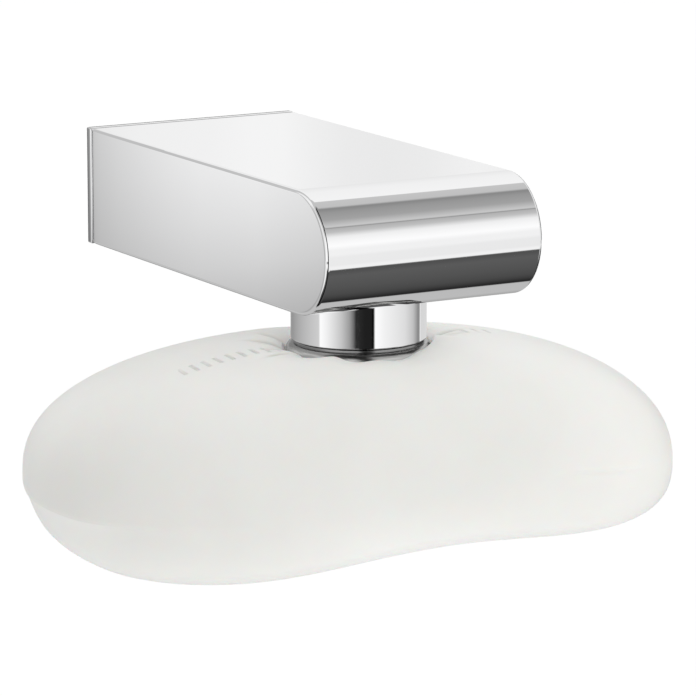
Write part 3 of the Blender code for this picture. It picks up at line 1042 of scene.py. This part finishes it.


# %% [markdown]
# ## The pocket round the cap
# The cap is pushed into the soap and sits in a pocket of its own shape. The lip follows its flutes,
# the skin dips towards it, and small folds show where the soap gave way. Rings of corners run from
# the pole under the cap's face, over the lip and the press line, to the pole at the bottom. Each
# corner also notes its fold depth and its nearness to the rim, for painted shade and painted light.
# Single sizes are in metres. Places in tables and the lip's own sizes are in millimetres.

# %% The pocket and the dish round the cap
lip_radius = 11.75 * MM
dish_radius = 18.5 * MM
plug_rings = [
    (4.0, -18.4), (7.5, -18.4), (9.2, -18.45), (9.85, -18.8), (10.2, -19.6), (10.5, -21.4),
    (10.65, -22.9), (11.0, -23.2), (11.8, -23.2)]
pocket_gap = 0.3 * MM
pocket_heights = [-23.15, -22.8, -22.0, -21.2, -20.3]
lip_rings = ((0.12, 0.35), (0.03, 0.12))
lip_start = 0.08 * MM
dish_rings = 30
fold_reach = 4 * MM
fold_lowest = -30 * MM
fold_shade = 1.5
rim_light = 0.5
rim_reach = 8.0 * MM
rim_start = -0.71
rim_run = 0.2
lip_level = -18.4
lip_tilt = 0.33
lip_tilt_turn = math.radians(165.0)
lip_wave = 0.32
line_search = (math.radians(70.0), math.radians(115.0))
line_halvings = 12
# Each bump of the lip: degrees, width in degrees, rise.
lip_bumps = [(200, 5, -0.3), (221, 9, 0.35), (262, 11, -0.6), (308, 9, 0.8), (323, 12, 1.25)]
# Each fold: degrees, distance from the axis, length, rise, width.
folds = [
    (134, 13.8, 2.0, -0.4, 0.6), (147, 14.2, 2.2, 0.35, 0.7), (157, 14.4, 2.4, -0.55, 0.5),
    (170, 14.2, 1.9, 0.3, 0.6), (180, 14.6, 1.9, -0.5, 0.45), (193, 16.4, 2.2, -0.4, 0.38),
    (2, 14.0, 1.8, 0.3, 0.6), (-9, 14.6, 2.4, -0.5, 0.45), (-20, 13.9, 1.7, -0.45, 0.42),
    (-31, 13.4, 1.2, -0.4, 0.42)]


def lip_height(angle):
    """The lip dips where a flute pushes out and towards the thick end, with a few bumps of its own."""
    wave = math.cos(flutes * (angle - flute_turn))
    height = lip_level - lip_tilt * math.cos(angle - lip_tilt_turn) - lip_wave * wave
    for degrees, width, rise in lip_bumps:
        turn = (math.degrees(angle) - degrees + 180.0) % 360.0 - 180.0
        height += rise * math.exp(-(turn / width) ** 2)
    return height * MM


def fold(radius, angle):
    """Small folds that the cap pushed up in the soap when it was pressed in."""
    height = 0.0
    for degrees, middle, length, rise, width in folds:
        turn = (angle - math.radians(degrees) + math.pi) % math.tau - math.pi
        aside = turn * radius / (width * MM)
        away = (radius - middle * MM) / (length * MM)
        height += rise * MM * math.exp(-aside ** 2 - away ** 2)
    return height


def dish_point(radius, angle):
    """A point of the dish: the bar's skin, drawn down to the lip and easing out with distance."""
    point = round_point(radius, angle)
    drop = skin_height(round_point(lip_radius, angle)) - lip_height(angle)
    share = max(0.0, min(1.0, (dish_radius - radius) / (dish_radius - lip_radius)))
    point.z = skin_height(point) - drop * (ease(share) + share ** 5) / 2 + fold(radius, angle)
    return point


def towards_line(count):
    """Places of rings from 0 to 1 that crowd towards 1, so that the press line gets a crisp mesh."""
    return [1.0 - (1.0 - index / count) ** 2 for index in range(1, count + 1)]


def skin_point(centre, angle, down):
    """The point of the finished skin that a ray from the cap's axis meets, and its height over the line."""
    ray = Vector((math.sin(down) * math.cos(angle), math.sin(down) * math.sin(angle), math.cos(down)))
    own = spin_back @ ray
    length = reach(own.x, own.y, own.z)
    own = cap_axis + own * length
    along = share_along(own.x)
    above = own.z - press_line(along)
    return centre + ray * (length + press_step(along, above)), above


def line_angle(centre, angle):
    """The angle from straight up at which a ray meets the press line."""
    high, low = line_search
    for _ in range(line_halvings):
        middle = (high + low) / 2
        if skin_point(centre, angle, middle)[1] > 0.0:
            high = middle
        else:
            low = middle
    return (high + low) / 2


# %% Rings of points from the pole under the cap's face to the pole at the bottom
segments = 256
side_rings = 80
angles = [math.tau * index / segments for index in range(segments)]
centre = soap_to_world @ cap_axis

rings = [[round_point(radius * MM, angle, height * MM) for angle in angles] for radius, height in plug_rings]
for height in pocket_heights:
    rings.append([
        round_point(skirt_radius(height * MM, angle) + pocket_gap, angle, height * MM) for angle in angles])
for inward, below in lip_rings:
    rings.append([
        round_point(lip_radius - inward * MM, angle, lip_height(angle) - below * MM) for angle in angles])
for index in range(dish_rings):
    radius = lip_radius + (dish_radius - lip_radius) * index / (dish_rings - 1)
    rings.append([dish_point(radius + (lip_start if index == 0 else 0.0), angle) for angle in angles])
starts = [math.atan2(dish_radius, point.z - centre.z) for point in rings[-1]]
lines = [line_angle(centre, angle) for angle in angles]
for share in towards_line(side_rings):
    rings.append([
        skin_point(centre, angle, start + (line - start) * share)[0]
        for angle, start, line in zip(angles, starts, lines)])
for share in reversed(towards_line(side_rings)[:-1]):
    rings.append([
        skin_point(centre, angle, math.pi + (line - math.pi) * share)[0]
        for angle, line in zip(angles, lines)])
print("soap:", len(rings), "rings of", segments, "corners")

# %% The bar
begin()
bpy.ops.mesh.primitive_uv_sphere_add(segments=segments, ring_count=len(rings) + 1, radius=1.0)
bar = take("soap_bar_pressed")
step = math.pi / (len(rings) + 1)
for vertex in bar.data.vertices:
    down = math.acos(max(-1.0, min(1.0, vertex.co.z)))
    ring = round(down / step) - 1
    if ring < 0:
        vertex.co = round_point(0.0, 0.0, plug_rings[0][1] * MM)
    elif ring >= len(rings):
        vertex.co = skin_point(centre, 0.0, math.pi)[0]
    else:
        turn = round(math.atan2(vertex.co.y, vertex.co.x) / math.tau * segments) % segments
        vertex.co = rings[ring][turn]
# Painted shade in the folds: each corner keeps how deep in a fold it lies, times fold_shade.
crease_shade = bar.data.attributes.new("crease_shade", "FLOAT", "POINT")
for vertex, value in zip(bar.data.vertices, crease_shade.data):
    place = vertex.co
    radius = math.hypot(place.x, place.y - cup_place)
    if lip_radius < radius < dish_radius + fold_reach and place.z > fold_lowest:
        value.value = max(0.0, -fold(radius, math.atan2(place.y - cup_place, place.x)) / MM) * fold_shade
# Painted light on the thick end below the press line, fading with depth below it.
painted_rim_light = bar.data.attributes.new("painted_rim_light", "FLOAT", "POINT")
for vertex, value in zip(bar.data.vertices, painted_rim_light.data):
    own = world_to_soap @ vertex.co
    along = share_along(own.x)
    above = own.z - press_line(along)
    if above < 0.0:
        value.value = rim_light * ease((rim_start - along) / rim_run) * math.exp(above / rim_reach)
alone(bar)
bpy.ops.object.shade_smooth_by_angle(angle=math.radians(60.0))
bar.visible_glossy = False

# %% [markdown]
# ## The soap's finish
# Soap lets light in a little way, which softens every edge of it. The colour is a warm off-white
# with cloudy variations too faint to name, and the skin is satin with a very fine grain. A row of
# worn short bars is pressed into the top at both sides of the cap. They and the folds get painted
# shade in their colour, and below the press line the thick end gets painted light.

# %% The row of plain short bars, with the ends of its two rows in millimetres
mark_rows = ((-28.0, -11.2), (16.8, 22.4))
mark_pitch = 1.9 * MM
mark_half_sizes = (0.12 * MM, 1.4 * MM)
mark_slant = 0.3
mark_place = (-3.0 * MM, 0.22)
mark_edge = 0.25 * MM
mark_depth = 0.22 * MM
mark_shade = 0.42
mark_lowest = 5 * MM
mark_fade = 1 * MM


def window(tree, value, low, high, soft):
    """One between two limits, falling off to zero over a soft edge."""
    rise = between(tree, value, 0.0, 1.0, low - soft, low)
    fall = between(tree, value, 1.0, 0.0, high, high + soft)
    return maths(tree, "MINIMUM", rise, fall)


def pressed_marks(tree):
    """One inside a row of short slanted bars either side of the cap, zero elsewhere."""
    moved = add_node(
        tree, "ShaderNodeMapping",
        {"Vector": own_place(tree), "Location": soap_to_world.translation, "Rotation": (0.0, 0.0, soap_turn)},
        vector_type="TEXTURE")
    along, aside, height = parts(tree, moved.outputs[0])
    middle = maths(tree, "MULTIPLY_ADD", along, mark_place[1], mark_place[0])
    length = maths(tree, "SUBTRACT", aside, middle)
    leaning = maths(tree, "MULTIPLY_ADD", length, mark_slant, along)
    cell = maths(tree, "SUBTRACT", maths(tree, "FRACT", maths(tree, "MULTIPLY", leaning, 1 / mark_pitch)), 0.5)
    width = maths(tree, "ABSOLUTE", maths(tree, "MULTIPLY", cell, mark_pitch))
    half_width, half_length = mark_half_sizes
    shape = between(tree, width, 1.0, 0.0, half_width, half_width + mark_edge)
    ends = between(tree, maths(tree, "ABSOLUTE", length), 1.0, 0.0, half_length, half_length + mark_edge)
    rows = [window(tree, along, low * MM, high * MM, HAIR) for low, high in mark_rows]
    upper = window(tree, height, mark_lowest, 1.0, mark_fade)
    wear = between(tree, noise(tree, 420.0, 1.0), 0.35, 1.0)
    for share in (ends, maths(tree, "MAXIMUM", *rows), upper, wear):
        shape = maths(tree, "MULTIPLY", shape, share)
    return shape


# %% Material for the soap
soap_finish, tree, shader = new_finish(
    "off_white_soap", (0.84, 0.84, 0.81), 0.0, Subsurface_Weight=0.25, Subsurface_Scale=0.004,
    Specular_IOR_Level=0.15, Sheen_Weight=0.22, Sheen_Roughness=0.4)
clouds = ramp(tree, noise(tree, 45.0, 3.0), [(0.3, (0.82, 0.822, 0.79, 1.0)), (0.7, (0.86, 0.86, 0.832, 1.0))])
marks = pressed_marks(tree)
# Painted shade: the pressed bars and the folds darken the colour towards grey.
crease_shade = add_node(tree, "ShaderNodeAttribute", attribute_name="crease_shade").outputs["Fac"]
painted_groove_shade = maths(tree, "MULTIPLY_ADD", marks, mark_shade, crease_shade)
# Painted light: the thick end's lower rim is lifted towards white.
painted_rim_light = add_node(tree, "ShaderNodeAttribute", attribute_name="painted_rim_light").outputs["Fac"]
skin = blend(tree, painted_rim_light, clouds, (0.985, 0.985, 0.96, 1.0))
tree.links.new(blend(tree, painted_groove_shade, skin, (0.45, 0.45, 0.41, 1.0)), shader.inputs["Base Color"])
roughen(tree, shader, noise(tree, 120.0, 4.0), 0.36, 0.46)
broad = bump(tree, shader, noise(tree, 90.0, 2.0), 0.02 * MM)
grain = bump(tree, shader, noise(tree, 2200.0, 3.0), 0.004 * MM, broad)
bump(tree, shader, maths(tree, "SUBTRACT", 1.0, marks), mark_depth, grain)

dress(bar, soap_finish, "soap", "soap", "soap_bar", flats=False)

# %% [markdown]
# ## A last measurement
# The dressed object is meant to keep the size of its solids, so both boxes are printed.

# %% The two sizes
lowest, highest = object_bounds()
sizes = {
    "cad": [list(cad_lowest), list(cad_highest)],
    "visual": [list(lowest), list(highest)],
}
for name, (low, high) in sizes.items():
    print(name, "in mm:", [round(value / MM, 2) for value in low + high])
